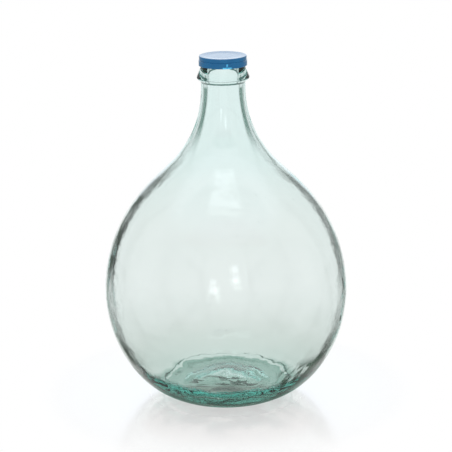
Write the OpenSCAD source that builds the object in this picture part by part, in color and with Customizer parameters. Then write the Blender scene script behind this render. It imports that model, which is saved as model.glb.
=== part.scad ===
// Glass demijohn with a snap cap.
// The origin is the centre of the ring that the bottle stands on, with +Z up its axis.
// Every outline lies in the half plane of radius and height and is turned round the axis.

/* [Body] */
// Diameter at the widest point
body_d = 267; // [262:1:285]
// Radius of the arc from the widest point up to the shoulder
upper_arc_r = 166; // [140:1:180]
// Radius of the arc just below the widest point
belly_arc_r = 145; // [135:1:155]
// Angle that the belly arc turns through
belly_arc_angle = 36; // [30:1:40]
// Radius of the arc between the belly and the heel
lower_arc_r = 94; // [85:1:105]
// Angle that the lower arc turns through
lower_arc_angle = 30; // [24:1:34]
// Radius of the heel, which turns flat at the foot
heel_r = 38; // [25:1:45]

/* [Shoulder and neck] */
// Slope of the shoulder, measured from upright
shoulder_slope = 46; // [44:1:48]
// Radius of the hollow arc from the shoulder into the neck
shoulder_arc_r = 116; // [90:1:125]
// Outer diameter of the neck
neck_d = 48; // [46:0.5:50]
// Length of the straight neck under the collar
neck_straight_h = 6.4; // [3:0.2:30]
// Diameter of the bore through the neck
bore_d = 38; // [30:0.5:40]

/* [Collar and lip] */
// Diameter over the collar, before its nose is rounded
collar_d = 57.4; // [54:0.2:62]
// Height from the neck up to the collar's nose
collar_under_h = 4.6; // [3:0.2:8]
// Height of the flare from the nose up to the groove
collar_flare_h = 13; // [9:0.5:18]
// Radius of the collar's nose
collar_nose_r = 1.8; // [0.8:0.1:2.4]
// Radius of the corner between the neck and the underside of the collar
collar_root_r = 1.6; // [0.6:0.1:2.5]
// Diameter of the groove under the lip
groove_d = 46.8; // [45.5:0.1:47]
// Height of the groove
groove_h = 2; // [1.6:0.1:3]
// Radius of the bend from the flare into the groove
groove_round = 0.8; // [0.4:0.1:2]
// Diameter over the lip bead that the cap snaps on
lip_d = 48; // [47.6:0.1:48.4]
// Height of the lip, from the groove to the top of the glass
lip_h = 7; // [6:0.5:9]
// Radius of the two small bends under the lip
lip_under_round = 0.3; // [0.1:0.05:0.4]
// Radius of the lip's outer edge
lip_outer_round = 2; // [0.8:0.1:2.2]
// Radius of the lip's inner edge
lip_inner_round = 1.4; // [0.6:0.1:1.6]
// How much wider than the bore the mouth opens, on the radius
mouth_flare = 1.3; // [0.8:0.1:1.6]
// Depth over which the mouth opens
mouth_flare_h = 7.5; // [5:0.5:9]

/* [Glass thickness] */
// Wall of the upper body
body_wall = 2.7; // [1.8:0.1:3.5]
// Angle below the widest point at which the wall starts to thicken
even_wall_angle = 30; // [10:1:30]
// How far the ring where the inner floor meets the wall lies outside the flat foot
floor_reach = 18.5; // [14:0.5:21]
// Height of that ring above the table
floor_ring_h = 17; // [14:0.5:20]
// Radius of the corner between the floor and the wall
floor_corner_r = 6; // [2:0.5:10]
// How far the floor dips inside the ring
floor_dip = 2.4; // [1.5:0.1:3.5]
// Width of the dip's slope
floor_dip_w = 9; // [7:0.5:12]
// How far the middle of the floor rises again
floor_dome = 4; // [1:0.5:6]

/* [Base] */
// Width of the flat ring that the bottle stands on
bearing_w = 4.5; // [3:0.5:8]
// Height of the push-up in the middle of the base
push_up_h = 9; // [5:0.5:11]
// Radius of the edge between the push-up and the bearing ring
bearing_edge_r = 3; // [1:0.5:5]

/* [Cap] */
// Running clearance between the cap and the glass
cap_clearance = 0.3; // [0.2:0.05:0.5]
// Thickness of the cap's skirt
skirt_t = 1.4; // [1.2:0.1:2]
// Height of the skirt below the top of the glass
skirt_h = 8.6; // [7.8:0.1:8.8]
// Radius of the skirt's lower edges
skirt_edge_round = 0.4; // [0.2:0.05:0.6]
// Thickness of the cap's top
cap_top_t = 1.4; // [1:0.1:2.2]
// Height of the raised rim round the cap's top
cap_rim_h = 0.6; // [0.3:0.1:1]
// Width of the raised rim
cap_rim_w = 1.4; // [1.2:0.1:2.5]
// Width of the gentle slope from the rim down to the flat middle
dish_slope_w = 8; // [5:0.5:12]
// Radius of the bends at both ends of that slope
dish_round = 6; // [1:0.5:6]
// Radius of the cap's upper edge
cap_edge_r = 0.9; // [0.4:0.1:1.1]
// Height of the plain upper band, above the tear line
upper_band_h = 4.2; // [3:0.1:5]
// How far the lower band stands out past the upper one
band_step = 0.5; // [0.3:0.1:0.8]
// Height of the score groove between the two bands
score_h = 0.4; // [0.3:0.05:0.6]
// Depth of the score groove
score_depth = 0.25; // [0.15:0.05:0.35]
// How far the snap bead stands in from the skirt
snap_bead = 0.5; // [0.3:0.05:0.6]
// Height of the snap bead
snap_bead_h = 1.6; // [1.2:0.1:2]
// Depth of the sealing plug in the mouth
plug_depth = 4; // [3:0.5:5]
// Thickness of the sealing plug
plug_t = 1.1; // [0.9:0.1:1.5]
// Radius of the small edges of the snap bead and the plug
cap_round = 0.4; // [0.2:0.05:0.4]
// Radius of the inner corners under the cap's top
cap_corner_r = 0.6; // [0.3:0.1:1]

/* [Tear notch] */
// Direction of the notch, seen from above, with 270 at the front
notch_angle = 280; // [0:1:359]
// Length of the thin strip along the skirt's lower edge
strip_l = 17; // [10:0.5:24]
// Height of the thin strip
strip_h = 1.6; // [1:0.1:2.2]
// Width of the upright slit above the strip
slit_w = 1.8; // [1:0.1:3]
// Gap between the top of the slit and the score groove
slit_gap = 0.4; // [0.2:0.1:1]
// Depth of the strip and the slit in the skirt
notch_depth = 0.7; // [0.4:0.05:0.9]
// Diameter of the pip where the slit meets the strip
pip_d = 1.2; // [0.8:0.1:1.6]

/* [Hidden] */
// Turn of each straight piece that an arc is drawn with, in degrees
arc_step = 4;
// Turn of each straight piece on the small rounded corners, in degrees
corner_step = 20;
// Straight pieces across the raised middle of the floor
floor_steps = 10;
turn_fn = 120;
// Reach of cutting shapes past the face that they cut
past = 2;
// Points closer than this are one point
same_point = 0.001;

body_r = body_d / 2;
neck_r = neck_d / 2;
bore_r = bore_d / 2;
collar_r = collar_d / 2;
groove_r = groove_d / 2;
lip_r = lip_d / 2;

// Lower body: three arcs, one after the other, each tangent to the next
lower_arc_end = belly_arc_angle + lower_arc_angle;
foot_r = body_r - belly_arc_r * (1 - cos(belly_arc_angle))
    - lower_arc_r * (cos(belly_arc_angle) - cos(lower_arc_end)) - heel_r * cos(lower_arc_end);
widest_z = belly_arc_r * sin(belly_arc_angle)
    + lower_arc_r * (sin(lower_arc_end) - sin(belly_arc_angle)) + heel_r * (1 - sin(lower_arc_end));
lower_arc_c = [
    foot_r + (heel_r - lower_arc_r) * cos(lower_arc_end),
    heel_r + (lower_arc_r - heel_r) * sin(lower_arc_end)
];

// Upper body and shoulder: arc, straight slope and hollow arc, outside and inside
upper_arc_c = [body_r - upper_arc_r, widest_z];
shoulder_l = slope_length(body_r - neck_r, upper_arc_r + shoulder_arc_r);
neck_z = widest_z + slope_rise(shoulder_l, upper_arc_r + shoulder_arc_r);
shoulder_arc_c = [neck_r + shoulder_arc_r, neck_z];
inner_upper_r = upper_arc_r - body_wall;
inner_shoulder_r = shoulder_arc_r + body_wall;
inner_shoulder_l = slope_length(body_r - body_wall - bore_r, inner_upper_r + inner_shoulder_r);
bore_z = widest_z + slope_rise(inner_shoulder_l, inner_upper_r + inner_shoulder_r);
inner_shoulder_c = [bore_r + inner_shoulder_r, bore_z];

// Heights of the collar, the groove and the lip
collar_z = neck_z + neck_straight_h;
nose_z = collar_z + collar_under_h;
groove_z = nose_z + collar_flare_h;
lip_z = groove_z + groove_h;
glass_h = lip_z + lip_h;
mouth_r = bore_r + mouth_flare;

// Inner belly: an even wall, then one arc on to the ring where the floor starts
even_wall_p = [
    body_r - belly_arc_r + (belly_arc_r - body_wall) * cos(even_wall_angle),
    widest_z - (belly_arc_r - body_wall) * sin(even_wall_angle)
];
floor_r = foot_r + floor_reach;
to_ring = [floor_r, floor_ring_h] - even_wall_p;
ring_turn = 2 * (atan2(-to_ring[0], -to_ring[1]) - even_wall_angle);
inner_lower_r = norm(to_ring) / (2 * sin(ring_turn / 2));
inner_lower_c = even_wall_p - inner_lower_r * [cos(even_wall_angle), -sin(even_wall_angle)];
dip_r = floor_r - floor_dip_w;
dip_z = floor_ring_h - floor_dip;
dome_r = dip_r - floor_dip_w;

// Base
bearing_r = foot_r - bearing_w;
push_up_r = (bearing_r * bearing_r + push_up_h * push_up_h) / (2 * push_up_h);
push_up_edge_r = bearing_r - bearing_edge_r;
push_up_edge_angle = acos(push_up_edge_r / push_up_r);

// Cap: the skirt is built out from the lip bead, and the plug in from the mouth
skirt_inner_r = lip_r + cap_clearance + snap_bead;
lower_band_r = skirt_inner_r + skirt_t;
upper_band_r = lower_band_r - band_step;
cap_under_z = glass_h;
dish_z = cap_under_z + cap_top_t;
cap_h = dish_z + cap_rim_h;
score_z = cap_h - upper_band_h;
step_z = score_z - score_h - band_step / 2;
skirt_z = glass_h - skirt_h;
bead_z = skirt_z + skirt_edge_round + snap_bead_h / 2;
plug_top_r = mouth_r - cap_clearance;
plug_end_r = plug_top_r - plug_depth * mouth_flare / mouth_flare_h;

// Length of the straight slope between two arcs that turn through the shoulder's slope
function slope_length(across, radii) = (across - radii * (1 - cos(shoulder_slope))) / sin(shoulder_slope);

// Height that two such arcs and the slope between them rise
function slope_rise(slope_l, radii) = radii * sin(shoulder_slope) + slope_l * cos(shoulder_slope);

// Points on an arc from angle a0 to a1, both ends included
function arc(c, r, a0, a1, step = arc_step) =
    let (n = ceil(abs(a1 - a0) / step))
    [for (i = [0:n]) c + r * [cos(a0 + (a1 - a0) * i / n), sin(a0 + (a1 - a0) * i / n)]];

function unit(v) = v / norm(v);

// Points that round corner b, between a and c, to radius r
function corner(a, b, c, r) =
    let (u = unit(a - b), w = unit(c - b), half = acos(u * w) / 2)
    let (m = b + unit(u + w) * r / sin(half), p = b + u * r / tan(half), q = b + w * r / tan(half))
    let (a0 = atan2(p[1] - m[1], p[0] - m[0]), a1 = atan2(q[1] - m[1], q[0] - m[0]))
    let (turn = a1 - a0 > 180 ? a1 - a0 - 360 : a1 - a0 < -180 ? a1 - a0 + 360 : a1 - a0)
    arc(m, r, a0, a0 + turn, corner_step);

// A path of corners [radius from axis, height, rounding], open at both ends
function rounded(path) =
    let (last = len(path) - 1, p = [for (v = path) [v[0], v[1]]])
    [for (i = [0:last]) each (i == 0 || i == last || path[i][2] == 0
        ? [p[i]] : corner(p[i - 1], p[i], p[i + 1], path[i][2]))];

// Underside, from the axis out to the foot
function base_line() = concat(
    arc([0, push_up_h - push_up_r], push_up_r, 90, push_up_edge_angle),
    rounded([
        [push_up_edge_r, push_up_h - push_up_r + push_up_r * sin(push_up_edge_angle), 0],
        [bearing_r, 0, bearing_edge_r],
        [foot_r, 0, 0]
    ])
);

// Outside of the body, from the heel up to the neck
function body_line() = concat(
    arc([foot_r, heel_r], heel_r, -90, -lower_arc_end),
    arc(lower_arc_c, lower_arc_r, -lower_arc_end, -belly_arc_angle),
    arc([body_r - belly_arc_r, widest_z], belly_arc_r, -belly_arc_angle, 0),
    arc(upper_arc_c, upper_arc_r, 0, shoulder_slope),
    arc(shoulder_arc_c, shoulder_arc_r, 180 + shoulder_slope, 180)
);

// Collar, groove, lip and mouth, from the neck over the top and down to the bore
function finish_line() = rounded([
    [neck_r, neck_z, 0],
    [neck_r, collar_z, collar_root_r],
    [collar_r, nose_z, collar_nose_r],
    [groove_r, groove_z, groove_round],
    [groove_r, lip_z, lip_under_round],
    [lip_r, lip_z + lip_r - groove_r, lip_under_round],
    [lip_r, glass_h, lip_outer_round],
    [mouth_r, glass_h, lip_inner_round],
    [bore_r, glass_h - mouth_flare_h, 0]
]);

// Inside, from the bore down to the ring round the floor
function inner_line() = concat(
    arc(inner_shoulder_c, inner_shoulder_r, 180, 180 + shoulder_slope),
    arc(upper_arc_c, inner_upper_r, shoulder_slope, 0),
    arc([body_r - belly_arc_r, widest_z], belly_arc_r - body_wall, 0, -even_wall_angle)
);

// Inside, from the even wall to the middle of the floor
function floor_line() = concat(
    arc(inner_lower_c, inner_lower_r, -even_wall_angle, -even_wall_angle - ring_turn),
    rounded([
        [floor_r, floor_ring_h, 0],
        [dip_r, dip_z, floor_corner_r],
        [dome_r, dip_z, 0]
    ]),
    [for (i = [1:floor_steps]) let (x = dome_r * (1 - i / floor_steps))
        [x, dip_z + floor_dome * (1 + cos(180 * x / dome_r)) / 2]]
);

// Points of a path, without those that fall on the one before
function distinct(path) =
    [for (i = [0:len(path) - 1]) if (i == 0 || norm(path[i] - path[i - 1]) > same_point) path[i]];

// Section of the cap, from the dish over the rim, down to the skirt's edge and back inside
function cap_line() = rounded([
    [0, dish_z, 0],
    [upper_band_r - cap_rim_w - dish_slope_w, dish_z, dish_round],
    [upper_band_r - cap_rim_w, cap_h, dish_round],
    [upper_band_r, cap_h, cap_edge_r],
    [upper_band_r, score_z, 0],
    [upper_band_r - score_depth, score_z - score_h / 2, 0],
    [upper_band_r, score_z - score_h, 0],
    [lower_band_r, step_z, cap_round / 2],
    [lower_band_r, skirt_z, skirt_edge_round],
    [skirt_inner_r, skirt_z, skirt_edge_round],
    [skirt_inner_r, bead_z - snap_bead_h / 2, 0],
    [skirt_inner_r - snap_bead, bead_z, cap_round],
    [skirt_inner_r, bead_z + snap_bead_h / 2, 0],
    [skirt_inner_r, cap_under_z, cap_corner_r],
    [plug_top_r, cap_under_z, 0],
    [plug_end_r, cap_under_z - plug_depth, cap_round],
    [plug_end_r - plug_t, cap_under_z - plug_depth, cap_round],
    [plug_end_r - plug_t, cap_under_z, cap_corner_r],
    [0, cap_under_z, 0]
]);

module turned(path) {
    rotate_extrude($fn = turn_fn)
        polygon(distinct(path));
}

module glass_bottle() {
    color([0.78, 0.89, 0.86, 0.6])
        turned(concat(base_line(), body_line(), finish_line(), inner_line(), floor_line()));
}

// The thin strip and the slit above it, cut into the skirt's outer face
module notch() {
    floor_x = lower_band_r - notch_depth;
    difference() {
        union() {
            translate([floor_x, -strip_l / 2, skirt_z - past])
                cube([notch_depth + past, strip_l, strip_h + past]);
            translate([floor_x, -slit_w / 2, skirt_z])
                cube([notch_depth + past, slit_w, step_z - slit_gap - skirt_z]);
        }
        translate([floor_x - past, 0, skirt_z + strip_h])
            rotate([0, 90, 0])
                cylinder(h = notch_depth + past, d = pip_d, $fn = 24);
    }
}

module snap_cap() {
    color([0.06, 0.40, 0.63])
        difference() {
            turned(cap_line());
            rotate([0, 0, notch_angle])
                notch();
        }
}

glass_bottle();
snap_cap();
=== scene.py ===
"""Dressed model of a blown glass demijohn with a press-on cap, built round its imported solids."""
import logging
import math
from dataclasses import dataclass, field
from enum import Enum
from typing import Any, Callable, Sequence

import bpy
from bpy.types import Material, Mesh, Node, NodeSocket, Object
from mathutils import Matrix, Vector


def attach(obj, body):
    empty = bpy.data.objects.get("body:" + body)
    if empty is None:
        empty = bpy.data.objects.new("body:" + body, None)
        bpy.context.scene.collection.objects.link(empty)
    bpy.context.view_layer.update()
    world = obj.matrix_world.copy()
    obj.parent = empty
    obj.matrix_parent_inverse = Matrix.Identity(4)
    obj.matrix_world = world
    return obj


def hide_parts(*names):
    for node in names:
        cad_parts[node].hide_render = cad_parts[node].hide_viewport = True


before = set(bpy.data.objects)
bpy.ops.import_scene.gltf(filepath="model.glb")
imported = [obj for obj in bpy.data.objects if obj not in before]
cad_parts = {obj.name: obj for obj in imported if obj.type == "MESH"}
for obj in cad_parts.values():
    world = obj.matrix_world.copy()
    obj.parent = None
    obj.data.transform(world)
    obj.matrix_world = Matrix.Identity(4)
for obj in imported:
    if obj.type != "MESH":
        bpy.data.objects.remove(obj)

LOG = logging.getLogger("demijohn")
MM = 0.001
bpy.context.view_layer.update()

Point = tuple[float, float]
Span = tuple[float, float]
Triple = tuple[float, float, float]
Colour = Triple
Given = dict[Any, Any] | None
WHITE: Colour = (1.0, 1.0, 1.0)


class Socket(str, Enum):
    """Kinds of named input on a geometry tree."""

    GEOMETRY = "NodeSocketGeometry"
    FLOAT = "NodeSocketFloat"
    INT = "NodeSocketInt"
    MATERIAL = "NodeSocketMaterial"

    @classmethod
    def of(cls, value: Any) -> "Socket":
        """The kind that holds a whole number, a float or a material."""
        if isinstance(value, int):
            return cls.INT
        return cls.FLOAT if isinstance(value, float) else cls.MATERIAL


def operator(operation: str, swapped: bool = False) -> Callable[["Signal", Any], "Signal"]:
    """Makes a method that adds one Math node with two inputs.

    Args:
        operation: The node's operation.
        swapped: Whether the signal itself comes second.

    Returns:
        The method.
    """
    def result(self: "Signal", other: Any) -> "Signal":
        """The node's result."""
        return self.math(operation, *((other, self) if swapped else (self, other)))

    return result


@dataclass
class Signal:
    """An output socket that takes part in arithmetic, adding the Math nodes it needs.

    "at_least" gives the larger of two values, "at_most" the smaller, and "over" is 1 where this
    value is greater than the other, else 0.
    """

    tree: "Tree"
    socket: NodeSocket

    __add__, __radd__ = operator("ADD"), operator("ADD", True)
    __sub__, __rsub__ = operator("SUBTRACT"), operator("SUBTRACT", True)
    __mul__, __truediv__, __pow__ = operator("MULTIPLY"), operator("DIVIDE"), operator("POWER")
    at_least, at_most, over = operator("MAXIMUM"), operator("MINIMUM"), operator("GREATER_THAN")

    def math(self, operation: str, *values: Any) -> "Signal":
        """Adds one Math node.

        Args:
            operation: The node's operation.
            values: Its inputs, in order.

        Returns:
            The node's result.
        """
        inputs = dict(enumerate(values))
        return self.tree.signal("ShaderNodeMath", {"operation": operation}, inputs)

    def absolute(self) -> "Signal":
        """The value without its sign."""
        return self.math("ABSOLUTE", self)

    def whole(self) -> "Signal":
        """The value without its fraction."""
        return self.math("FLOOR", self)

    def step(self, low: float, high: float) -> "Signal":
        """Smooth step.

        Args:
            low: Value at which the step is 0.
            high: Value at which the step is 1, which may be the smaller one.

        Returns:
            A share from 0 to 1.
        """
        turned = float(high < low)
        ends = {1: min(low, high), 2: max(low, high), 3: turned, 4: 1.0 - turned}
        settings = {"interpolation_type": "SMOOTHSTEP"}
        return self.tree.signal("ShaderNodeMapRange", settings, {0: self, **ends})

    def band(self, rise: Span, fall: Span) -> "Signal":
        """1 between two smooth steps.

        Args:
            rise: Ends of the first step.
            fall: Ends of the second, as the values at which it is 0 and 1.

        Returns:
            A share from 0 to 1.
        """
        return self.step(*rise) * self.step(*fall)


@dataclass
class Tree:
    """A shader or geometry node tree with one way to add a node."""

    nodes: bpy.types.NodeTree

    def node(self, kind: str, settings: Given = None, inputs: Given = None) -> Node:
        """Adds a node.

        Args:
            kind: The node's type.
            settings: Its own settings, made before the inputs.
            inputs: Values or links by the input's name or number. A colour needs no alpha.

        Returns:
            The new node.
        """
        made = self.nodes.nodes.new(kind)
        for name, value in (settings or {}).items():
            setattr(made, name, value)
        for name, value in (inputs or {}).items():
            value, end = getattr(value, "socket", value), made.inputs[name]
            if isinstance(value, NodeSocket):
                self.nodes.links.new(value, end)
            elif value is not None:
                end.default_value = (*value, 1.0) if end.type == "RGBA" else value
        return made

    def signal(self, kind: str, settings: Given = None, inputs: Given = None,
               output: Any = 0) -> Signal:
        """Adds a node and gives one of its outputs.

        Args:
            kind: The node's type.
            settings: Its own settings.
            inputs: Values or links.
            output: Name or number of the output.

        Returns:
            The output as a signal.
        """
        return Signal(self, self.node(kind, settings, inputs).outputs[output])

    def blend(self, share: Any, first: Any, second: Any) -> Signal:
        """Mixes two colours.

        Args:
            share: How much of the second colour.
            first: First colour, a tuple or a link.
            second: Second colour.

        Returns:
            The mixed colour.
        """
        inputs = {0: share, 6: first, 7: second}
        return self.signal("ShaderNodeMix", {"data_type": "RGBA"}, inputs, 2)

    def parts(self, vector: Signal) -> tuple[Signal, Signal, Signal]:
        """The three parts of a vector.

        Args:
            vector: The vector.

        Returns:
            X, Y and Z.
        """
        made = self.node("ShaderNodeSeparateXYZ", inputs={0: vector})
        return tuple(Signal(self, out) for out in made.outputs)


class ShaderTree(Tree):
    """Node tree of a material or of the world."""

    def __init__(self, owner: bpy.types.ID) -> None:
        """Empties the owner's tree.

        Args:
            owner: Material or world.
        """
        self.owner = owner
        owner.use_nodes = True
        owner.node_tree.nodes.clear()
        super().__init__(owner.node_tree)

    def place(self) -> Signal:
        """Object coordinates, in metres."""
        return self.signal("ShaderNodeTexCoord", output="Object")

    def stored(self, name: str) -> Signal:
        """A value that the mesh carries.

        Args:
            name: Its name.

        Returns:
            The value as a signal.
        """
        return self.signal("ShaderNodeAttribute", {"attribute_name": name}, None, "Fac")

    def noise(self, vector: Signal, scale: float, detail: float = 2.0) -> Signal:
        """Soft noise from 0 to 1.

        Args:
            vector: Where it is read.
            scale: Waves in a metre.
            detail: Octaves.

        Returns:
            The noise.
        """
        inputs = {"Vector": vector, "Scale": scale, "Detail": detail}
        return self.signal("ShaderNodeTexNoise", None, inputs)

    def mix(self, share: Signal, first: Node, second: Node) -> Node:
        """Mixes two shaders.

        Args:
            share: How much of the second.
            first: Node of the first shader.
            second: Node of the second.

        Returns:
            The mixing node.
        """
        inputs = {0: share, 1: first.outputs[0], 2: second.outputs[0]}
        return self.node("ShaderNodeMixShader", None, inputs)

    def bump(self, height: Signal, depth: float, strength: float = 1.0,
             normal: Signal | None = None) -> Signal:
        """A normal bent by a height.

        Args:
            height: Height from 0 to 1.
            depth: What a height of 1 stands for, in metres.
            strength: Share of the bend that is used.
            normal: Normal that is bent further.

        Returns:
            The new normal.
        """
        inputs = {"Height": height, "Distance": depth, "Strength": strength}
        if normal is not None:
            inputs["Normal"] = normal
        return self.signal("ShaderNodeBump", None, inputs)

    def finish(self, surface: Node, volume: Node | None = None,
               kind: str = "ShaderNodeOutputMaterial") -> Any:
        """Adds the output.

        Args:
            surface: Node of the surface shader.
            volume: Node of the volume shader.
            kind: Type of the output node.

        Returns:
            The material or world that the tree belongs to.
        """
        self.node(kind, None, {
            "Surface": surface.outputs[0], "Volume": volume and volume.outputs[0],
        })
        return self.owner


class GeometryTree(Tree):
    """Geometry tree with named inputs and one mesh as its result."""

    def __init__(self, name: str) -> None:
        """Starts the tree.

        Args:
            name: The tree's name.
        """
        super().__init__(bpy.data.node_groups.new(name, "GeometryNodeTree"))
        self.values: dict[str, Any] = {}
        kind = Socket.GEOMETRY.value
        for way in ("INPUT", "OUTPUT"):
            self.nodes.interface.new_socket("Geometry", in_out=way, socket_type=kind)

    def start(self, given: dict[str, Any]) -> dict[str, NodeSocket]:
        """Adds named inputs.

        Args:
            given: What the modifier gives to each, by name.

        Returns:
            The sockets that give them out, by name, the mesh's among them.
        """
        for name, value in given.items():
            kind = Socket.of(value).value
            made = self.nodes.interface.new_socket(name, in_out="INPUT", socket_type=kind)
            self.values[made.identifier] = value
        return {out.name: out for out in self.node("NodeGroupInput").outputs}

    def named(self, name: str) -> Signal:
        """A stored value.

        Args:
            name: Its name.

        Returns:
            The value as a signal.
        """
        settings = {"data_type": "FLOAT"}
        return self.signal("GeometryNodeInputNamedAttribute", settings, {"Name": name})

    def keep(self, form: Signal, name: str, value: Signal) -> Signal:
        """Stores a value on a mesh's points.

        Args:
            form: The mesh.
            name: Name of the value.
            value: The value.

        Returns:
            The mesh with it.
        """
        return self.signal("GeometryNodeStoreNamedAttribute", {
            "data_type": "FLOAT", "domain": "POINT",
        }, {"Geometry": form, "Name": name, "Value": value})

    def clouds(self, scale: Any, detail: float) -> Signal:
        """Noise over the place of each point.

        Args:
            scale: Scale per metre.
            detail: Octaves.

        Returns:
            A signal round 0.5.
        """
        return self.signal("ShaderNodeTexNoise", None, {
            "Vector": self.signal("GeometryNodeInputPosition"), "Scale": scale,
            "Detail": detail, "Roughness": 0.55,
        })

    def end(self, geometry: Any, material: Any) -> None:
        """Realizes what was made, sets its material and gives it out.

        Args:
            geometry: The last geometry.
            material: Link or value of the material.
        """
        solid = self.signal("GeometryNodeRealizeInstances", None, {0: geometry})
        dressed = self.signal("GeometryNodeSetMaterial", None, {
            "Geometry": solid, "Material": material,
        })
        self.node("NodeGroupOutput", None, {0: dressed})

    def grow(self, name: str, seed_mesh: Mesh) -> Object:
        """Runs the tree on a mesh and keeps the result as a plain mesh.

        Args:
            name: Name of the new object.
            seed_mesh: Mesh that the modifier starts from.

        Returns:
            An object at the origin with no modifier.
        """
        piece = bpy.data.objects.new(name, seed_mesh)
        bpy.context.scene.collection.objects.link(piece)
        modifier = piece.modifiers.new(name, "NODES")
        modifier.node_group = self.nodes
        for identifier, value in self.values.items():
            modifier[identifier] = value
        bpy.context.view_layer.update()
        shown = piece.evaluated_get(bpy.context.evaluated_depsgraph_get())
        made = bpy.data.meshes.new_from_object(shown)
        made.name = name
        piece.modifiers.remove(modifier)
        piece.data = made
        return piece


@dataclass(frozen=True)
class Patches:
    """Noise cut down to patches with soft edges."""

    scale: float
    detail: float
    edge: Span

    def on(self, tree: ShaderTree, place: Signal) -> Signal:
        """The patches at a place.

        Args:
            tree: Tree that they are added to.
            place: Where they are read.

        Returns:
            A share from 0 to 1.
        """
        return tree.noise(place, self.scale, self.detail).step(*self.edge)


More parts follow.
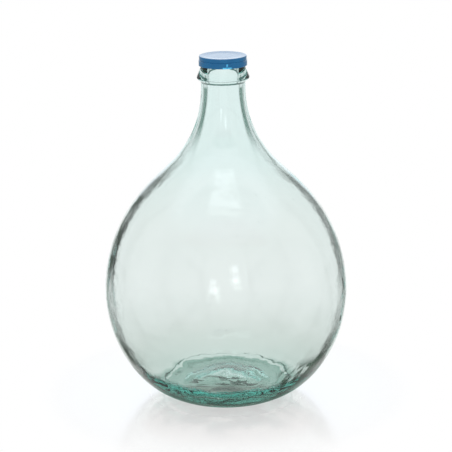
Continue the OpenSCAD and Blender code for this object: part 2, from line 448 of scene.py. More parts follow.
@dataclass(frozen=True)
class GlassFinish:
    """Pale blue-green bottle glass, fire polished, a little wavy, with a mould seam.

    Heights and places are in metres. The graze and the spans ending in "in" and "out" are of
    facing, which is 0 where the wall faces the eye and 1 at its edge. A ray takes a tint's
    square root at each crossing. The dark lines and darker patches that marks() gives are
    painted shade in the glass's colour.
    """

    ior: float = 1.5
    roughness: float = 0.0
    tint: Colour = (0.17, 0.725, 0.665)
    density: float = 13.0
    body_tint: Colour = (0.934, 0.956, 0.948)
    neck_tint: Colour = (0.940, 0.982, 0.979)
    neck_blend: Span = (0.20, 0.28)
    # Painted shade: the front of the heel is darkened to a brownish tint, with dark streaks low on
    # it.
    front_y: Span = (0.010, 0.045)
    heel_z: Span = (0.037, 0.026)
    heel_shade: Colour = (0.48, 0.34, 0.31)
    drawn_out: Triple = (0.35, 1.0, 1.0)
    streak_z: Span = (0.026, 0.016)
    streak_patches: Patches = Patches(80.0, 3.0, (0.45, 0.54))
    streak_shade: Colour = (0.015, 0.025, 0.02)
    # Painted shade in the crease beside the floor's ridge.
    crease_shade: Colour = (0.006, 0.015, 0.01)
    # Painted shade: dark ragged arcs in the front of the floor.
    arc_near: Span = (0.004, 0.012)
    arc_far: Span = (0.044, 0.036)
    arc_x: Span = (0.046, 0.036)
    arc_top: float = 0.03
    arc_patches: Patches = Patches(110.0, 4.0, (0.50, 0.55))
    arc_shade: Colour = (0.003, 0.02, 0.014)
    # Where the painted dark edge lines are weaker: to the right, in patches, and part way up the
    # flanks.
    right_x: Span = (-0.08, 0.10)
    right_z: Span = (0.06, 0.10)
    right_loss: float = 0.22
    side_top: Span = (0.275, 0.235)
    side_foot: Span = (0.004, 0.02)
    side_patches: Patches = Patches(40.0, 4.0, (0.38, 0.58))
    patch_loss: float = 0.25
    flank_low: Span = (0.095, 0.065)
    flank_high: Span = (0.125, 0.155)
    flank_loss: float = 0.65
    # Painted shade: dark lines where the inner wall is seen at a graze.
    graze: Span = (0.66, 0.76)
    graze_shade: Colour = (0.05, 0.05, 0.04)
    # Painted shade: a ragged dark line inside the outer edge, nearer the edge low down.
    rim_in: Span = (0.61, 0.66)
    rim_out: Span = (0.86, 0.78)
    rim_jag: float = 0.12
    rim_scale: float = 130.0
    rim_low: Span = (0.065, 0.035)
    rim_drop: float = 0.11
    rim_shade: Colour = (0.001, 0.003, 0.001)
    # Painted shade: a dark jagged streak on the front of the lower right.
    fold_in: Span = (0.34, 0.46)
    fold_out: Span = (0.84, 0.72)
    fold_x: Span = (0.048, 0.060)
    fold_z: Span = (0.070, 0.056)
    fold_drawn: Span = (0.2, 0.7)
    fold_patches: Patches = Patches(85.0, 3.0, (0.46, 0.54))
    fold_shade: Colour = (0.02, 0.035, 0.022)
    # Painted shade: a dark line in the neck beside the bore.
    bore_in: Span = (0.27, 0.36)
    bore_out: Span = (0.56, 0.46)
    bore_low: Span = (0.27, 0.31)
    bore_high: Span = (0.349, 0.346)
    bore_shade: Colour = (0.10, 0.18, 0.15)
    # Painted shade: a thin dark ring on the ledge under the lip.
    ledge_z: Span = (0.3502, 0.3530)
    ledge_r: float = 0.0243
    ledge_shade: Colour = (0.02, 0.06, 0.05)
    seam_angle: float = 280.0
    seam_width: float = 1.1 * MM
    seam_top: Span = (0.19, 0.17)
    seam_h: float = 0.08 * MM
    ripple_scale: float = 60.0
    ripple_z: Span = (0.022, 0.055)
    ripple_h: float = 0.35 * MM
    ripple_share: float = 0.5

    def marks(self, tree: ShaderTree, place: Signal) -> list[tuple[Signal, Colour]]:
        """Painted shade: the darker floor, heel and place under the lip, and the edges' dark
        lines.

        Args:
            tree: The glass's tree.
            place: Where the glass is.

        Returns:
            Shares and their tints, in the order of painting.
        """
        x, y, z = tree.parts(place)
        ahead = 0.0 - y
        facing = tree.signal("ShaderNodeLayerWeight", None, {"Blend": 0.5}, "Facing")
        inner = tree.stored("inside")
        outer = 1.0 - inner
        front = ahead.step(*self.front_y) * outer
        # Painted shade: the dark ring on the ledge under the lip.
        ledge = z.over(self.ledge_z[0]) * (self.ledge_z[1] - z).over(0.0)
        drawn = tree.signal("ShaderNodeVectorMath", {"operation": "MULTIPLY"}, {
            0: place, 1: self.drawn_out,
        })
        # Painted shade: dark arcs on the floor's front half.
        arcs = ahead.band(self.arc_near, self.arc_far) * (self.arc_top - z).over(0.0) * inner
        arcs = arcs * x.absolute().step(*self.arc_x) * self.arc_patches.on(tree, drawn)
        # Painted shade: dark streaks low on the front of the heel.
        streaks = z.step(*self.streak_z) * front * self.streak_patches.on(tree, drawn)
        # Where the painted dark edge lines are weaker.
        right = x.step(*self.right_x) * z.step(*self.right_z) * self.right_loss
        patchy = self.side_patches.on(tree, place) * self.patch_loss + (1.0 - self.patch_loss)
        flank = z.step(*self.flank_high).at_least(z.step(*self.flank_low))
        flank = flank * self.flank_loss + (1.0 - self.flank_loss)
        sides = (1.0 - right) * z.band(self.side_top, self.side_foot) * patchy * flank
        # Painted shade: the ragged dark line inside the outer edge, by facing.
        jag = (tree.noise(place, self.rim_scale, 4.0) - 0.5) * self.rim_jag
        edge = facing + jag - z.step(*self.rim_low) * self.rim_drop
        # Painted shade: the dark jagged streak on the front of the lower right.
        fold = facing.band(self.fold_in, self.fold_out) * outer * ahead.over(0.0)
        tangent = {0: (x + z) * self.fold_drawn[0], 1: (z - x) * self.fold_drawn[1]}
        along = tree.signal("ShaderNodeCombineXYZ", None, tangent)
        fold = fold * x.step(*self.fold_x) * z.step(*self.fold_z)
        # Painted shade: the dark line in the neck beside the bore.
        bore = facing.band(self.bore_in, self.bore_out) * z.band(self.bore_low, self.bore_high)
        # Every entry below is painted shade in the glass's colour.
        return [
            (ledge * ((x * x + y * y) ** 0.5).over(self.ledge_r), self.ledge_shade),
            (arcs, self.arc_shade),
            (z.step(*self.heel_z) * front, self.heel_shade),
            (streaks, self.streak_shade),
            (tree.stored("crease"), self.crease_shade),
            (facing.step(*self.graze) * inner * sides, self.graze_shade),
            (edge.band(self.rim_in, self.rim_out) * outer * sides, self.rim_shade),
            (fold * self.fold_patches.on(tree, along), self.fold_shade),
            (bore * outer, self.bore_shade),
        ]

    def relief(self, tree: ShaderTree, place: Signal) -> Signal:
        """The mould seam and the ripples.

        Args:
            tree: The glass's tree.
            place: Where the glass is.

        Returns:
            The bent normal.
        """
        x, y, z = tree.parts(place)
        turn = math.radians(self.seam_angle)
        off = (y * math.cos(turn) - x * math.sin(turn)).absolute()
        seam = off.step(self.seam_width, 0.0) * z.step(*self.seam_top)
        ripple = tree.noise(place, self.ripple_scale) * z.step(*self.ripple_z)
        return tree.bump(ripple, self.ripple_h, self.ripple_share, tree.bump(seam, self.seam_h))

    def make(self) -> Material:
        """Builds the material."""
        tree = ShaderTree(bpy.data.materials.new("bottle_glass"))
        place = tree.place()
        z = tree.parts(place)[2]
        colour = tree.blend(z.step(*self.neck_blend), self.body_tint, self.neck_tint)
        # Paints the shade marks into the glass's colour.
        for share, tint in self.marks(tree, place):
            colour = tree.blend(share, colour, tint)
        surface = tree.node("ShaderNodeBsdfPrincipled", None, {
            "Base Color": colour, "Roughness": self.roughness, "IOR": self.ior,
            "Transmission Weight": 1.0, "Normal": self.relief(tree, place),
        })
        inside = tree.node("ShaderNodeVolumeAbsorption", None, {
            "Color": self.tint, "Density": self.density,
        })
        return tree.finish(surface, inside)


@dataclass(frozen=True)
class CapFinish:
    """Mid blue moulded plastic, semi-gloss, a little see-through at its thin places, where the
    light through them is painted in as a paler blue.
    """

    colour: Colour = (0.004, 0.115, 0.29)
    light: Colour = (0.015, 0.19, 0.39)
    # Painted light: the paler blue of the thin recessed strip stands in for light through it.
    thin: Colour = (0.10, 0.60, 0.95)
    light_patches: Patches = Patches(90.0, 2.0, (0.35, 0.75))
    light_share: float = 0.2
    grain_scale: float = 900.0
    grain_h: float = 0.02 * MM
    grain_share: float = 0.6
    roughness: float = 0.24
    grain_rough: float = 0.08
    gloss: float = 0.3
    coat_roughness: float = 0.10
    recess_r: float = 25.95 * MM
    inner_r: float = 25.1 * MM
    recess_top: float = 374.6 * MM

    def make(self) -> Material:
        """Builds the material."""
        tree = ShaderTree(bpy.data.materials.new("cap_plastic"))
        place = tree.place()
        grain = tree.noise(place, self.grain_scale, 3.0)
        lighter = self.light_patches.on(tree, place) * self.light_share
        colour = tree.blend(lighter, self.colour, self.light)
        x, y, z = tree.parts(place)
        # Painted light: the thin recessed strip gets a paler blue for the light through it; the
        # plastic lets none through.
        radius = (x * x + y * y) ** 0.5
        recess = radius.over(self.inner_r) * (self.recess_r - radius).over(0.0)
        recess = recess * (self.recess_top - z).over(0.0)
        colour = tree.blend(recess, colour, self.thin)
        surface = tree.node("ShaderNodeBsdfPrincipled", None, {
            "Base Color": colour, "Roughness": grain * self.grain_rough + self.roughness,
            "IOR": 1.5, "Specular IOR Level": self.gloss, "Coat Weight": 1.0,
            "Coat Roughness": self.coat_roughness,
            "Normal": tree.bump(grain, self.grain_h, self.grain_share),
        })
        return tree.finish(surface)


@dataclass(frozen=True)
class Surround:
    """The room as the glass and the glosses see it.

    A lit backdrop stands behind the bottle. For a ray that has been through glass there is a
    lit panel on each side too, with dim corners between them, so that the glass is clear from
    any side. Glosses see dimmer wings, and so the glass keeps dark edges.
    """

    dim: Colour = (0.21, 0.26, 0.23)
    wall: Colour = (0.30, 0.34, 0.32)
    spread: float = 17.0
    margin: float = 0.13
    soft: float = 0.16
    wing_in: Span = (0.14, 0.26)
    wing_out: Span = (0.80, 0.62)
    wing_light: Span = (0.12, 0.60)
    side_light: float = 0.8
    side_in: Span = (0.6, 1.5)
    front_y: Span = (0.0, -0.06)
    front_loss: Span = (0.7, -0.4)
    unseen: float = 9.0

    def rays(self, tree: ShaderTree) -> tuple[Signal, Signal, Signal]:
        """Tells the kinds of ray apart.

        Args:
            tree: Tree of the table or of the world.

        Returns:
            1 for a ray from the camera, for one that has been through glass, and for one that
            comes straight off a gloss, else 0.
        """
        path = tree.node("ShaderNodeLightPath").outputs
        passed = Signal(tree, path["Transmission Depth"]).over(0.5)
        mirrored = Signal(tree, path["Is Glossy Ray"]) * (1.0 - passed)
        return Signal(tree, path["Is Camera Ray"]), passed, mirrored

    def backdrop(self, x: Signal, y: Signal, margin: float, passed: Signal) -> Signal:
        """Share of the lit backdrop.

        Args:
            x: Distance or direction to the right.
            y: Distance or direction to the back.
            margin: Half width of the backdrop beside the bottle.
            passed: 1 for a ray that has been through glass, which sees a panel on each side.

        Returns:
            A share from 0 to 1.
        """
        away = (x * x + y * y + 1e-6) ** 0.5
        across, widen = x.absolute(), math.tan(math.radians(self.spread))
        behind = y.at_least(y.absolute() * passed - (1.0 - passed) * self.unseen)
        beyond = (across - behind * widen - margin) / away
        wing = beyond.band(self.wing_in, self.wing_out)
        wing = wing * (passed * self.wing_light[1] + self.wing_light[0])
        beside = (y.absolute() - across * widen - margin) / away
        side = beside.step(self.soft, 0.0) * passed * self.side_light
        side = side * across.step(margin * self.side_in[0], margin * self.side_in[1] + 0.01)
        front = y.step(*self.front_y) * (passed * self.front_loss[1] + self.front_loss[0])
        return beyond.step(self.soft, 0.0).at_least(wing).at_least(side) * (1.0 - front)


@dataclass(frozen=True)
class TableFinish:
    """White table with a faint mirror near the bottle, plain white further off."""

    white: Colour = (0.97, 0.975, 0.98)
    mirror: float = 0.34
    mirror_tint: Colour = (0.99, 0.995, 1.0)
    mirror_blur: float = 0.16
    mirror_edge: Span = (0.24, 0.05)
    lit_edge: Span = (0.10, 0.22)
    shadow: float = 0.15
    # Painted shadow that only rays through glass see: greenish under the bottle, grey round it.
    under: Colour = (0.26, 0.42, 0.36)
    under_edge: Span = (0.076, 0.092)
    far_edge: Span = (0.5, 1.2)
    shade: Colour = (0.76, 0.80, 0.77)
    shade_edge: Span = (0.10, 0.40)
    surround: Surround = field(default_factory=Surround)

    def make(self) -> Material:
        """Builds the material."""
        tree = ShaderTree(bpy.data.materials.new("white_table"))
        x, y, _ = tree.parts(tree.place())
        away = (x * x + y * y) ** 0.5
        around = self.surround
        seen, passed, mirrored = around.rays(tree)
        lit = tree.node("ShaderNodeBsdfDiffuse", None, {"Color": self.white})
        gloss = tree.node("ShaderNodeBsdfGlossy", None, {
            "Color": self.mirror_tint, "Roughness": self.mirror_blur,
        })
        fade = away.step(*self.mirror_edge) * self.mirror
        plain = tree.node("ShaderNodeEmission", None, {"Color": WHITE})
        glow = (1.0 - seen * self.shadow).at_least(away.step(*self.lit_edge))
        top = tree.mix(fade * seen, tree.mix(glow, lit, plain), gloss)
        share = around.backdrop(x, y, around.margin, passed)
        # Painted shadow for rays through glass: grey round the bottle, greenish under it.
        shade = tree.blend(away.step(*self.shade_edge), self.shade, WHITE)
        shade = tree.blend(away.step(*self.under_edge), self.under, shade)
        dim = tree.blend(away.step(*self.far_edge) * passed, around.dim, around.wall)
        room = tree.node("ShaderNodeEmission", None, {"Color": tree.blend(share, dim, shade)})
        return tree.finish(tree.mix(passed + mirrored, top, room))


@dataclass(frozen=True)
class Window:
    """A bright window of the room, which only glosses show.

    Angles are in degrees. The azimuth counts from the viewer's side, to the right. The light
    is a share of the panes' own, and the bar and the soft edges are shares of the half sizes.
    """

    azimuth: float
    elevation: float
    half_width: float
    half_height: float
    light: float = 1.0
    soft_side: float = 0.6
    soft_end: float = 0.7
    bar: float = 0.16

    def share(self, tree: ShaderTree, direction: tuple[Signal, Signal, Signal]) -> Signal:
        """How much of the window lies in a direction.

        Args:
            tree: The world's tree, which is not used.
            direction: Its three parts.

        Returns:
            A signal from 0 to 1, with a bar across the window.
        """
        turn, rise = math.radians(self.azimuth), math.radians(self.elevation)
        x, y, z = direction
        aside = x * math.cos(turn) + y * math.sin(turn)
        ahead = x * math.sin(turn) - y * math.cos(turn)
        above = z * math.cos(rise) - ahead * math.sin(rise)
        wide = math.sin(math.radians(self.half_width))
        tall = math.sin(math.radians(self.half_height))
        across = aside.absolute().step(wide, wide * self.soft_side)
        along = above.absolute().band((tall, tall * self.soft_end), (0.0, tall * self.bar))
        return across * along * ahead.over(0.0) * self.light


@dataclass(frozen=True)
class SkyFinish:
    """Even white light from all round, darker where a ray was thrown about in the glass."""

    gloss_light: float = 1.3
    pane_light: float = 1.4
    gloss_tint: Colour = (0.84, 0.92, 1.0)
    ceiling: Span = (0.60, 0.85)
    windows: tuple[Window, ...] = (
        Window(-12.0, 11.5, 4.2, 6.5), Window(9.0, 21.0, 4.0, 8.0),
        Window(-2.0, 79.0, 16.0, 7.0, 0.8),
    )
    surround: Surround = field(default_factory=Surround)

    def make(self) -> bpy.types.World:
        """Builds the world."""
        tree = ShaderTree(bpy.data.worlds.new("soft_studio"))
        x, y, z = tree.parts(tree.signal("ShaderNodeTexCoord", output="Generated"))
        around = self.surround
        _, passed, mirrored = around.rays(tree)
        lit = around.backdrop(x, y, 0.0, passed).at_least(z.step(*self.ceiling))
        panes = self.windows[0].share(tree, (x, y, z))
        for window in self.windows[1:]:
            panes = panes.at_least(window.share(tree, (x, y, z)))
        aside = passed + mirrored
        share = (1.0 - lit) * aside * (1.0 - panes)
        level = 1.0 + mirrored * (self.gloss_light - 1.0) + aside * panes * self.pane_light
        light = tree.blend(mirrored, WHITE, self.gloss_tint)
        surface = tree.node("ShaderNodeBackground", None, {
            "Color": tree.blend(share, light, around.wall), "Strength": level,
        })
        return tree.finish(surface, kind="ShaderNodeOutputWorld")


@dataclass
class BottleOutline:
    """Half section of the blown bottle, in millimetres, as [radius, height] points."""

    body_r: float = 133.5
    upper_arc_r: float = 166.0
    belly_arc_r: float = 145.0
    belly_arc_angle: float = 36.0
    lower_arc_r: float = 94.0
    lower_arc_angle: float = 30.0
    heel_r: float = 38.0
    shoulder_slope: float = 46.0
    shoulder_arc_r: float = 116.0
    neck_r: float = 24.0
    neck_straight_h: float = 6.4
    bore_r: float = 19.0
    collar_r: float = 28.7
    collar_under_h: float = 4.6
    collar_flare_h: float = 13.0
    collar_nose_r: float = 1.8
    collar_root_r: float = 1.6
    groove_r: float = 23.4
    groove_h: float = 2.0
    groove_round: float = 0.8
    lip_r: float = 24.0
    lip_h: float = 7.0
    lip_under_round: float = 0.3
    lip_outer_round: float = 2.0
    lip_inner_round: float = 1.4
    mouth_flare: float = 1.3
    mouth_flare_h: float = 7.5
    body_wall: float = 2.7
    even_wall_angle: float = 30.0
    floor_reach: float = 18.5
    floor_ring_h: float = 17.0
    floor_corner_r: float = 6.0
    floor_dip: float = 2.4
    floor_dip_w: float = 9.0
    floor_dome: float = 4.0
    bearing_w: float = 4.5
    push_up_h: float = 9.0
    bearing_edge_r: float = 3.0
    arc_step: float = 2.2
    corner_step: float = 12.0
    longest: float = 4.0
    fine: float = 0.9
    fine_reach: float = 9.0
    same: float = 0.01
    dome_steps: int = 24

    def __post_init__(self) -> None:
        """Works out the places that the other sizes settle."""
        slope = self.belly_arc_angle, self.belly_arc_angle + self.lower_arc_angle
        (cos_b, sin_b), (cos_l, sin_l) = ((math.cos(t), math.sin(t))
                                          for t in map(math.radians, slope))
        self.lower_end = slope[1]
        self.foot_r = (self.body_r - self.belly_arc_r * (1 - cos_b)
                       - self.lower_arc_r * (cos_b - cos_l) - self.heel_r * cos_l)
        self.widest_z = (self.belly_arc_r * sin_b + self.lower_arc_r * (sin_l - sin_b)
                         + self.heel_r * (1 - sin_l))
        self.lower_c = (self.foot_r + (self.heel_r - self.lower_arc_r) * cos_l,
                        self.heel_r + (self.lower_arc_r - self.heel_r) * sin_l)
        self.belly_c = (self.body_r - self.belly_arc_r, self.widest_z)
        self.upper_c = (self.body_r - self.upper_arc_r, self.widest_z)
        self.neck_z = self.rise(self.body_r - self.neck_r)
        self.bore_z = self.rise(self.body_r - self.body_wall - self.bore_r)
        self.collar_z = self.neck_z + self.neck_straight_h
        self.nose_z = self.collar_z + self.collar_under_h
        self.groove_z = self.nose_z + self.collar_flare_h
        self.lip_z = self.groove_z + self.groove_h
        self.top_z = self.lip_z + self.lip_h
        self.mouth_r = self.bore_r + self.mouth_flare
        self.floor_r = self.foot_r + self.floor_reach

    def rise(self, across: float) -> float:
        """Height at which the shoulder turns upright.

        Args:
            across: Distance from the widest wall in to the neck's wall.

        Returns:
            The height.
        """
        turn, radii = math.radians(self.shoulder_slope), self.upper_arc_r + self.shoulder_arc_r
        slope = (across - radii * (1 - math.cos(turn))) / math.sin(turn)
        return self.widest_z + radii * math.sin(turn) + slope * math.cos(turn)

    def arc(self, centre: Point, radius: float, start: float, end: float,
            step: float | None = None) -> list[Point]:
        """Points on an arc.

        Args:
            centre: Centre.
            radius: Radius.
            start: First angle, in degrees.
            end: Last angle.
            step: Largest turn between two points.

        Returns:
            The points, both ends included.
        """
        count = max(1, math.ceil(abs(end - start) / (step or self.arc_step)))
        turns = [math.radians(start + (end - start) * i / count) for i in range(count + 1)]
        return [(centre[0] + radius * math.cos(t), centre[1] + radius * math.sin(t))
                for t in turns]

    def rounded(self, path: Sequence[Triple]) -> list[Point]:
        """Rounds the corners of a path.

        Args:
            path: Corners as radius, height and rounding.

        Returns:
            The points of the rounded path.
        """
        out: list[Point] = [path[0][:2]]
        for before, here, after in zip(path, path[1:], path[2:]):
            b = Vector(here[:2])
            u, w = (Vector(before[:2]) - b).normalized(), (Vector(after[:2]) - b).normalized()
            half = math.acos(max(-1.0, min(1.0, u.dot(w)))) / 2
            if here[2] == 0:
                out.append(tuple(b))
                continue
            centre = b + (u + w).normalized() * here[2] / math.sin(half)
            p, q = (b + v * here[2] / math.tan(half) - centre for v in (u, w))
            first, last = (math.degrees(math.atan2(v.y, v.x)) for v in (p, q))
            turn = (last - first + 180) % 360 - 180
            out += self.arc(tuple(centre), here[2], first, first + turn, self.corner_step)
        out.append(path[-1][:2])
        return out

    def base(self) -> list[Point]:
        """Underside, from the axis out to the foot."""
        bearing = self.foot_r - self.bearing_w
        ball = (bearing ** 2 + self.push_up_h ** 2) / (2 * self.push_up_h)
        edge = bearing - self.bearing_edge_r
        low = self.push_up_h - ball
        edge_z = low + math.sqrt(ball ** 2 - edge ** 2)
        dome = self.arc((0, low), ball, 90, math.degrees(math.acos(edge / ball)))
        return dome + self.rounded([(edge, edge_z, 0), (bearing, 0, self.bearing_edge_r),
                                    (self.foot_r, 0, 0)])

    def body(self) -> list[Point]:
        """Outside, from the heel up to the neck."""
        slope, belly = self.shoulder_slope, self.belly_arc_angle
        return (self.arc((self.foot_r, self.heel_r), self.heel_r, -90, -self.lower_end)
                + self.arc(self.lower_c, self.lower_arc_r, -self.lower_end, -belly)
                + self.arc(self.belly_c, self.belly_arc_r, -belly, 0)
                + self.arc(self.upper_c, self.upper_arc_r, 0, slope)
                + self.arc((self.neck_r + self.shoulder_arc_r, self.neck_z),
                           self.shoulder_arc_r, 180 + slope, 180))

    def mouth(self) -> list[Point]:
        """Collar, groove and lip, over the top and down to the bore."""
        return self.rounded([
            (self.neck_r, self.neck_z, 0),
            (self.neck_r, self.collar_z, self.collar_root_r),
            (self.collar_r, self.nose_z, self.collar_nose_r),
            (self.groove_r, self.groove_z, self.groove_round),
            (self.groove_r, self.lip_z, self.lip_under_round),
            (self.lip_r, self.lip_z + self.lip_r - self.groove_r, self.lip_under_round),
            (self.lip_r, self.top_z, self.lip_outer_round),
            (self.mouth_r, self.top_z, self.lip_inner_round),
            (self.bore_r, self.top_z - self.mouth_flare_h, 0),
        ])

    def inside(self) -> list[Point]:
        """Inner wall and floor, from the bore down to the axis."""
        wall, even = self.body_wall, math.radians(self.even_wall_angle)
        hollow, inner = self.shoulder_arc_r + wall, self.belly_arc_r - wall
        start = (self.belly_c[0] + inner * math.cos(even),
                 self.widest_z - inner * math.sin(even))
        to_ring = (self.floor_r - start[0], self.floor_ring_h - start[1])
        turn = 2 * (math.atan2(-to_ring[0], -to_ring[1]) - even)
        radius = math.hypot(*to_ring) / (2 * math.sin(turn / 2))
        centre = (start[0] - radius * math.cos(even), start[1] + radius * math.sin(even))
        dip_r, dip_z = self.floor_r - self.floor_dip_w, self.floor_ring_h - self.floor_dip
        dome_r = dip_r - self.floor_dip_w
        floor = self.rounded([(self.floor_r, self.floor_ring_h, 0),
                              (dip_r, dip_z, self.floor_corner_r), (dome_r, dip_z, 0)])
        steps = self.dome_steps
        dome = [(dome_r * (1 - i / steps),
                 dip_z + self.floor_dome * (1 + math.cos(math.pi * (1 - i / steps))) / 2)
                for i in range(1, steps + 1)]
        return (self.arc((self.bore_r + hollow, self.bore_z), hollow, 180,
                         180 + self.shoulder_slope)
                + self.arc(self.upper_c, self.upper_arc_r - wall, self.shoulder_slope, 0)
                + self.arc(self.belly_c, inner, 0, -self.even_wall_angle)
                + self.arc(centre, radius, -self.even_wall_angle,
                           -self.even_wall_angle - math.degrees(turn))
                + floor + dome)

    def even(self, path: Sequence[Point]) -> list[Point]:
        """Drops doubled points and splits long straight stretches.

        Args:
            path: Points of the path.

        Returns:
            Points no further apart than the longest step.
        """
        out = [path[0]]
        for here in path[1:]:
            before = out[-1]
            gap = math.dist(before, here)
            if gap < self.same:
                continue
            near = math.dist(here, (self.floor_r, self.floor_ring_h)) < self.fine_reach
            count = math.ceil(gap / (self.fine if near else self.longest))
            out += [tuple(b + (h - b) * i / count for b, h in zip(before, here))
                    for i in range(1, count + 1)]
        return out


@dataclass
class GlassBottle:
    """The bottle: one turned form with a slightly uneven wall and floor."""

    outline: BottleOutline = field(default_factory=BottleOutline)
    finish: GlassFinish = field(default_factory=GlassFinish)
    segments: int = 224
    ring_reach: float = 12.0
    ring_top: float = 30.0
    floor_fade: Span = (70.0, 20.0)
    floor_calm: Triple = (52.0, 67.0, 0.03)
    neck_fade: Span = (345.0, 305.0)
    outer_low: Span = (6.0, 26.0)
    outer_high: Span = (340.0, 310.0)
    outer_wave: float = 0.12 * MM
    inner_wave: float = 0.5 * MM
    floor_wave: float = 1.6 * MM
    wave_scale: float = 26.0
    wave_gain: Span = (-1.6, 0.3)
    ridge_scale: float = 90.0
    ridge_h: float = 1.7 * MM
    ridge_w: float = 1.7 * MM
    ridge_wander: float = 9.0 * MM
    ridge_inset: float = 4.0
    swell: Triple = (0.35, 0.55, 0.4)
    crease_in: Span = (0.1, 0.7)
    crease_out: Span = (1.7, 1.1)
    flank_scale: float = 150.0
    flank_h: float = 1.5 * MM
    flank_x: Span = (0.108, 0.124)
    flank_low: Span = (0.06, 0.09)
    flank_high: Span = (0.21, 0.18)
    flank_right: float = 0.5
    flank_mean: float = 0.35
    thickening: tuple[Point, ...] = ((60, 0), (90, -0.2), (150, -0.2), (205, 0.6), (262, 2.2),
                                     (315, 1.2), (345, 0.6), (362, 0))

    def thicker(self, path: Sequence[Point]) -> list[Point]:
        """Moves the inner wall where the real glass is thinner or thicker than its mean.

        Args:
            path: Points of the inner wall.

        Returns:
            The moved points.
        """
        out = []
        for i, here in enumerate(path):
            before, after = path[max(0, i - 1)], path[min(len(path) - 1, i + 1)]
            way = Vector((after[0] - before[0], after[1] - before[1])).normalized()
            extra = 0.0
            for (z0, t0), (z1, t1) in zip(self.thickening, self.thickening[1:]):
                if z0 <= here[1] < z1:
                    share = ramp(here[1], z0, z1)
                    extra = t0 + (t1 - t0) * share * share * (3 - 2 * share)
            out.append((here[0] + way.y * extra, here[1] - way.x * extra))
        return out

    def section(self) -> Mesh:
        """The half section as a chain of points with the wave that each may carry.

        Returns:
            A mesh of loose points, numbered from the axis under the base to the axis above
            the floor.
        """
        line = self.outline
        outer = line.even(line.base() + line.body() + line.mouth())
        path = line.even(outer + self.thicker(line.inside()))
        brim = max(range(len(path)), key=lambda i: path[i][1])
        waves, rings, insides = [], [], []
        for i, (r, z) in enumerate(path):
            inside = i > brim and z < line.bore_z
            gap = r - line.floor_r + self.ridge_inset
            by_ring = inside and z < self.ring_top and abs(gap) < self.ring_reach
            rings.append(gap * MM if by_ring else 1.0)
            insides.append(float(inside))
            if inside:
                start, end, least = self.floor_calm
                low = ramp(z, *self.floor_fade) * max(least, ramp(r, start, end))
                waves.append(self.inner_wave * ramp(z, *self.neck_fade) + self.floor_wave * low)
            else:
                tall = ramp(z, *self.outer_low) * ramp(z, *self.outer_high)
                waves.append(self.outer_wave * tall)
        mesh = bpy.data.meshes.new("bottle_section")
        mesh.from_pydata([(r * MM, 0.0, z * MM) for r, z in path], [], [])
        for name, values in (("wave", waves), ("ring", rings), ("inside", insides)):
            mesh.attributes.new(name, "FLOAT", "POINT").data.foreach_set("value", values)
        return mesh

    def tree(self, rows: int, material: Material) -> GeometryTree:
        """The tree that turns the section and unsettles it.

        Args:
            rows: Points in the section.
            material: The glass.

        Returns:
            The tree.
        """
        tree = GeometryTree("turned_glass")
        start = tree.start({
            "Rows": rows, "Segments": self.segments, "Wave scale": self.wave_scale,
            "Ridge scale": self.ridge_scale, "Ridge height": self.ridge_h,
            "Flank scale": self.flank_scale, "Flank height": self.flank_h, "Glass": material,
        })
        turns = Signal(tree, start["Segments"])
        across = turns + 1.0
        grid = tree.node("GeometryNodeMeshGrid", None, {
            "Vertices X": start["Rows"], "Vertices Y": across,
        })
        index = tree.signal("GeometryNodeInputIndex")
        row = ((index + 0.5) / across).whole()
        angle = (index - row * across) / turns * math.tau

        def read(value: Signal, kind: str) -> Signal:
            """A value of the section at this row."""
            inputs = {"Geometry": start["Geometry"], "Value": value, "Index": row}
            return tree.signal("GeometryNodeSampleIndex", {"data_type": kind}, inputs)

        place = read(tree.signal("GeometryNodeInputPosition"), "FLOAT_VECTOR")
        turned = tree.signal("ShaderNodeVectorRotate", {"rotation_type": "Z_AXIS"}, {
            "Vector": place, "Angle": angle,
        })
        form = tree.signal("GeometryNodeSetPosition", None, {
            "Geometry": grid.outputs[0], "Position": turned,
        })
        for name in ("wave", "ring", "inside"):
            form = tree.keep(form, name, read(tree.named(name), "FLOAT"))
        form = tree.signal("GeometryNodeMergeByDistance", None, {
            "Geometry": form, "Distance": 0.01 * MM,
        })
        form = tree.signal("GeometryNodeFlipFaces", None, {0: form})
        noise = tree.clouds(start["Wave scale"], 2.0)
        push = (noise * self.wave_gain[0] + self.wave_gain[1]).at_most(0.0) * tree.named("wave")
        rise, crease = self.rises(tree, start)
        # Keeps the share of painted crease shade for the glass's colour.
        form = tree.keep(form, "crease", crease)
        offset = tree.signal("ShaderNodeVectorMath", {"operation": "SCALE"}, {
            0: tree.signal("GeometryNodeInputNormal"), "Scale": push + rise,
        })
        form = tree.signal("GeometryNodeSetPosition", None, {
            "Geometry": form, "Offset": offset,
        })
        form = tree.signal("GeometryNodeSetShadeSmooth", None, {"Geometry": form})
        tree.end(form, start["Glass"])
        return tree

    def rises(self, tree: GeometryTree,
              start: dict[str, NodeSocket]) -> tuple[Signal, Signal]:
        """The jagged ridge where floor meets wall, and the flanks' fine unevenness.

        Args:
            tree: The tree.
            start: Its inputs.

        Returns:
            How far the inner wall moves in, and the share of painted shade in the crease beside
            the ridge.
        """
        wander = (tree.clouds(start["Ridge scale"], 5.0) - 0.5) * self.ridge_wander
        off = (tree.named("ring") + wander) / self.ridge_w
        low, high, gain = self.swell
        swell = tree.clouds(start["Wave scale"], 1.0).step(low, high)
        swell = swell * gain + (1.0 - gain)
        ridge = (1.0 - off * off).at_least(0.0) * swell * start["Ridge height"]
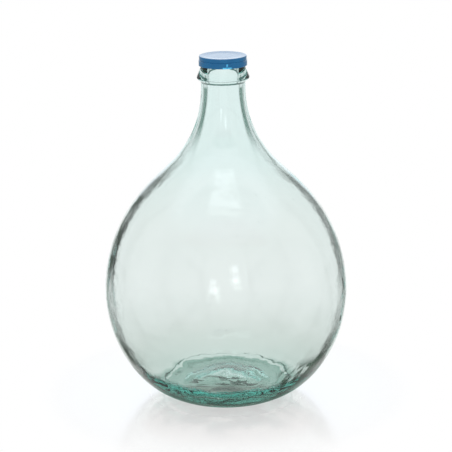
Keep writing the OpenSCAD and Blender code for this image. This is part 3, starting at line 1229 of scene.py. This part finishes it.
        # Share of painted shade in the crease beside the ridge, which the glass's colour darkens.
        crease = off.band(self.crease_in, self.crease_out) * swell
        x, _, z = tree.parts(tree.signal("GeometryNodeInputPosition"))
        sides = (0.0 - x).step(*self.flank_x) + x.step(*self.flank_x) * self.flank_right
        sides = sides * z.band(self.flank_low, self.flank_high) * tree.named("inside")
        rough = tree.clouds(start["Flank scale"], 3.0) - self.flank_mean
        return ridge + rough * sides * start["Flank height"], crease

    def build(self) -> Object:
        """Builds the bottle and puts it in the place of its solid.

        Returns:
            The finished piece.
        """
        section = self.section()
        tree = self.tree(len(section.vertices), self.finish.make())
        piece = tree.grow("blown_bottle", section)
        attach(piece, "bottle")
        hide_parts("glass_bottle")
        return piece


@dataclass
class Seeds:
    """Small bubbles caught in the glass, strewn by one tree over the middle of the wall."""

    outline: BottleOutline = field(default_factory=BottleOutline)
    depth: float = 1.2 * MM
    count: float = 420.0
    size: float = 0.42 * MM
    seed: int = 11
    turns: int = 48
    heights: Span = (30.0, 300.0)
    smallest: float = 0.35
    stretch: Triple = (0.8, 1.5, 0.7)
    air_tint: Colour = (0.55, 0.62, 0.58)

    def shell(self) -> Mesh:
        """A turned surface in the middle of the wall, from the lower body to the shoulder."""
        low, high = self.heights
        path = [p for p in self.outline.even(self.outline.body()) if low < p[1] < high][::2]
        points, faces = [], []
        for r, z in path:
            for k in range(self.turns):
                turn = math.tau * k / self.turns
                points.append(((r * MM - self.depth) * math.cos(turn),
                               (r * MM - self.depth) * math.sin(turn), z * MM))
        for i in range(len(path) - 1):
            for k in range(self.turns):
                a, b = i * self.turns + k, i * self.turns + (k + 1) % self.turns
                faces.append((a, b, b + self.turns, a + self.turns))
        mesh = bpy.data.meshes.new("seed_shell")
        mesh.from_pydata(points, [], faces)
        return mesh

    def air(self) -> Material:
        """Air seen from inside the glass."""
        tree = ShaderTree(bpy.data.materials.new("seed_air"))
        return tree.finish(tree.node("ShaderNodeBsdfPrincipled", None, {
            "Base Color": self.air_tint, "Roughness": 0.1, "IOR": 0.67,
            "Transmission Weight": 1.0,
        }))

    def build(self) -> Object:
        """Strews the seeds.

        Returns:
            The finished piece.
        """
        tree = GeometryTree("strewn_seeds")
        start = tree.start({
            "Density": self.count, "Seed": self.seed, "Size": self.size, "Air": self.air(),
        })
        strewn = tree.node("GeometryNodeDistributePointsOnFaces", None, {
            "Mesh": start["Geometry"], "Density": start["Density"], "Seed": start["Seed"],
        })
        size = tree.signal("FunctionNodeRandomValue", {"data_type": "FLOAT"}, {
            2: self.smallest, 3: 1.0, "Seed": start["Seed"],
        }, 1)
        ball = tree.node("GeometryNodeMeshIcoSphere", None, {
            "Radius": start["Size"], "Subdivisions": 2,
        })
        stretch = tree.signal("ShaderNodeCombineXYZ", None, {
            i: size * share for i, share in enumerate(self.stretch)
        })
        placed = tree.signal("GeometryNodeInstanceOnPoints", None, {
            "Points": strewn.outputs["Points"], "Instance": ball.outputs[0],
            "Rotation": strewn.outputs["Rotation"], "Scale": stretch,
        })
        tree.end(placed, start["Air"])
        piece = tree.grow("seeds", self.shell())
        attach(piece, "bottle")
        return piece


@dataclass
class SnapCap:
    """The press-on cap, whose solid shows as it is."""

    finish: CapFinish = field(default_factory=CapFinish)

    def build(self) -> Object:
        """Dresses the cap's own solid.

        Returns:
            The cap's object.
        """
        cap = bpy.data.objects["snap_cap"]
        cap.data.materials.clear()
        cap.data.materials.append(self.finish.make())
        return cap


@dataclass
class Studio:
    """White table, even light and the camera."""

    table: TableFinish = field(default_factory=TableFinish)
    sky: SkyFinish = field(default_factory=SkyFinish)
    table_half: float = 7.0
    table_z: float = -0.2 * MM
    camera_at: Triple = (0.9 * MM, -1.9, 0.722)
    pitch: float = 15.65
    roll: float = -0.8
    focal_px: float = 1797.0
    frame_px: float = 452.0
    sensor: float = 36.0
    glass_bounces: int = 24

    def lay_table(self) -> None:
        """Makes the table top."""
        h, z = self.table_half, self.table_z
        mesh = bpy.data.meshes.new("table")
        mesh.from_pydata([(-h, -h, z), (h, -h, z), (h, h, z), (-h, h, z)], [], [(0, 1, 2, 3)])
        mesh.materials.append(self.table.make())
        table = bpy.data.objects.new("table", mesh)
        bpy.context.scene.collection.objects.link(table)

    def set_camera(self) -> None:
        """Places the camera as the photograph was taken."""
        data = bpy.data.cameras.new("camera")
        data.sensor_width = self.sensor
        data.lens = self.focal_px * self.sensor / self.frame_px
        camera = bpy.data.objects.new("camera", data)
        tilt = Matrix.Rotation(math.radians(90 - self.pitch), 4, "X")
        lean = Matrix.Rotation(math.radians(self.roll), 4, "Z")
        camera.matrix_world = Matrix.Translation(self.camera_at) @ tilt @ lean
        bpy.context.scene.collection.objects.link(camera)
        bpy.context.scene.camera = camera

    def build(self) -> None:
        """Builds the whole stage."""
        scene = bpy.context.scene
        scene.view_settings.view_transform = "Standard"
        scene.cycles.max_bounces = self.glass_bounces
        scene.cycles.transmission_bounces = self.glass_bounces
        scene.cycles.glossy_bounces = self.glass_bounces
        scene.world = self.sky.make()
        self.lay_table()
        self.set_camera()


def ramp(value: float, start: float, end: float) -> float:
    """Straight rise from 0 to 1.

    Args:
        value: The value.
        start: Where it is 0.
        end: Where it is 1, which may be the smaller one.

    Returns:
        A share from 0 to 1.
    """
    return min(1.0, max(0.0, (value - start) / (end - start)))


def main() -> None:
    """Builds every piece in order."""
    logging.basicConfig(level=logging.INFO, format="%(name)s: %(message)s")
    Studio().build()
    for maker in (GlassBottle(), Seeds(), SnapCap()):
        piece = maker.build()
        LOG.info("built %s, %d faces", piece.name, len(piece.data.polygons))


if __name__ == "__main__":
    main()
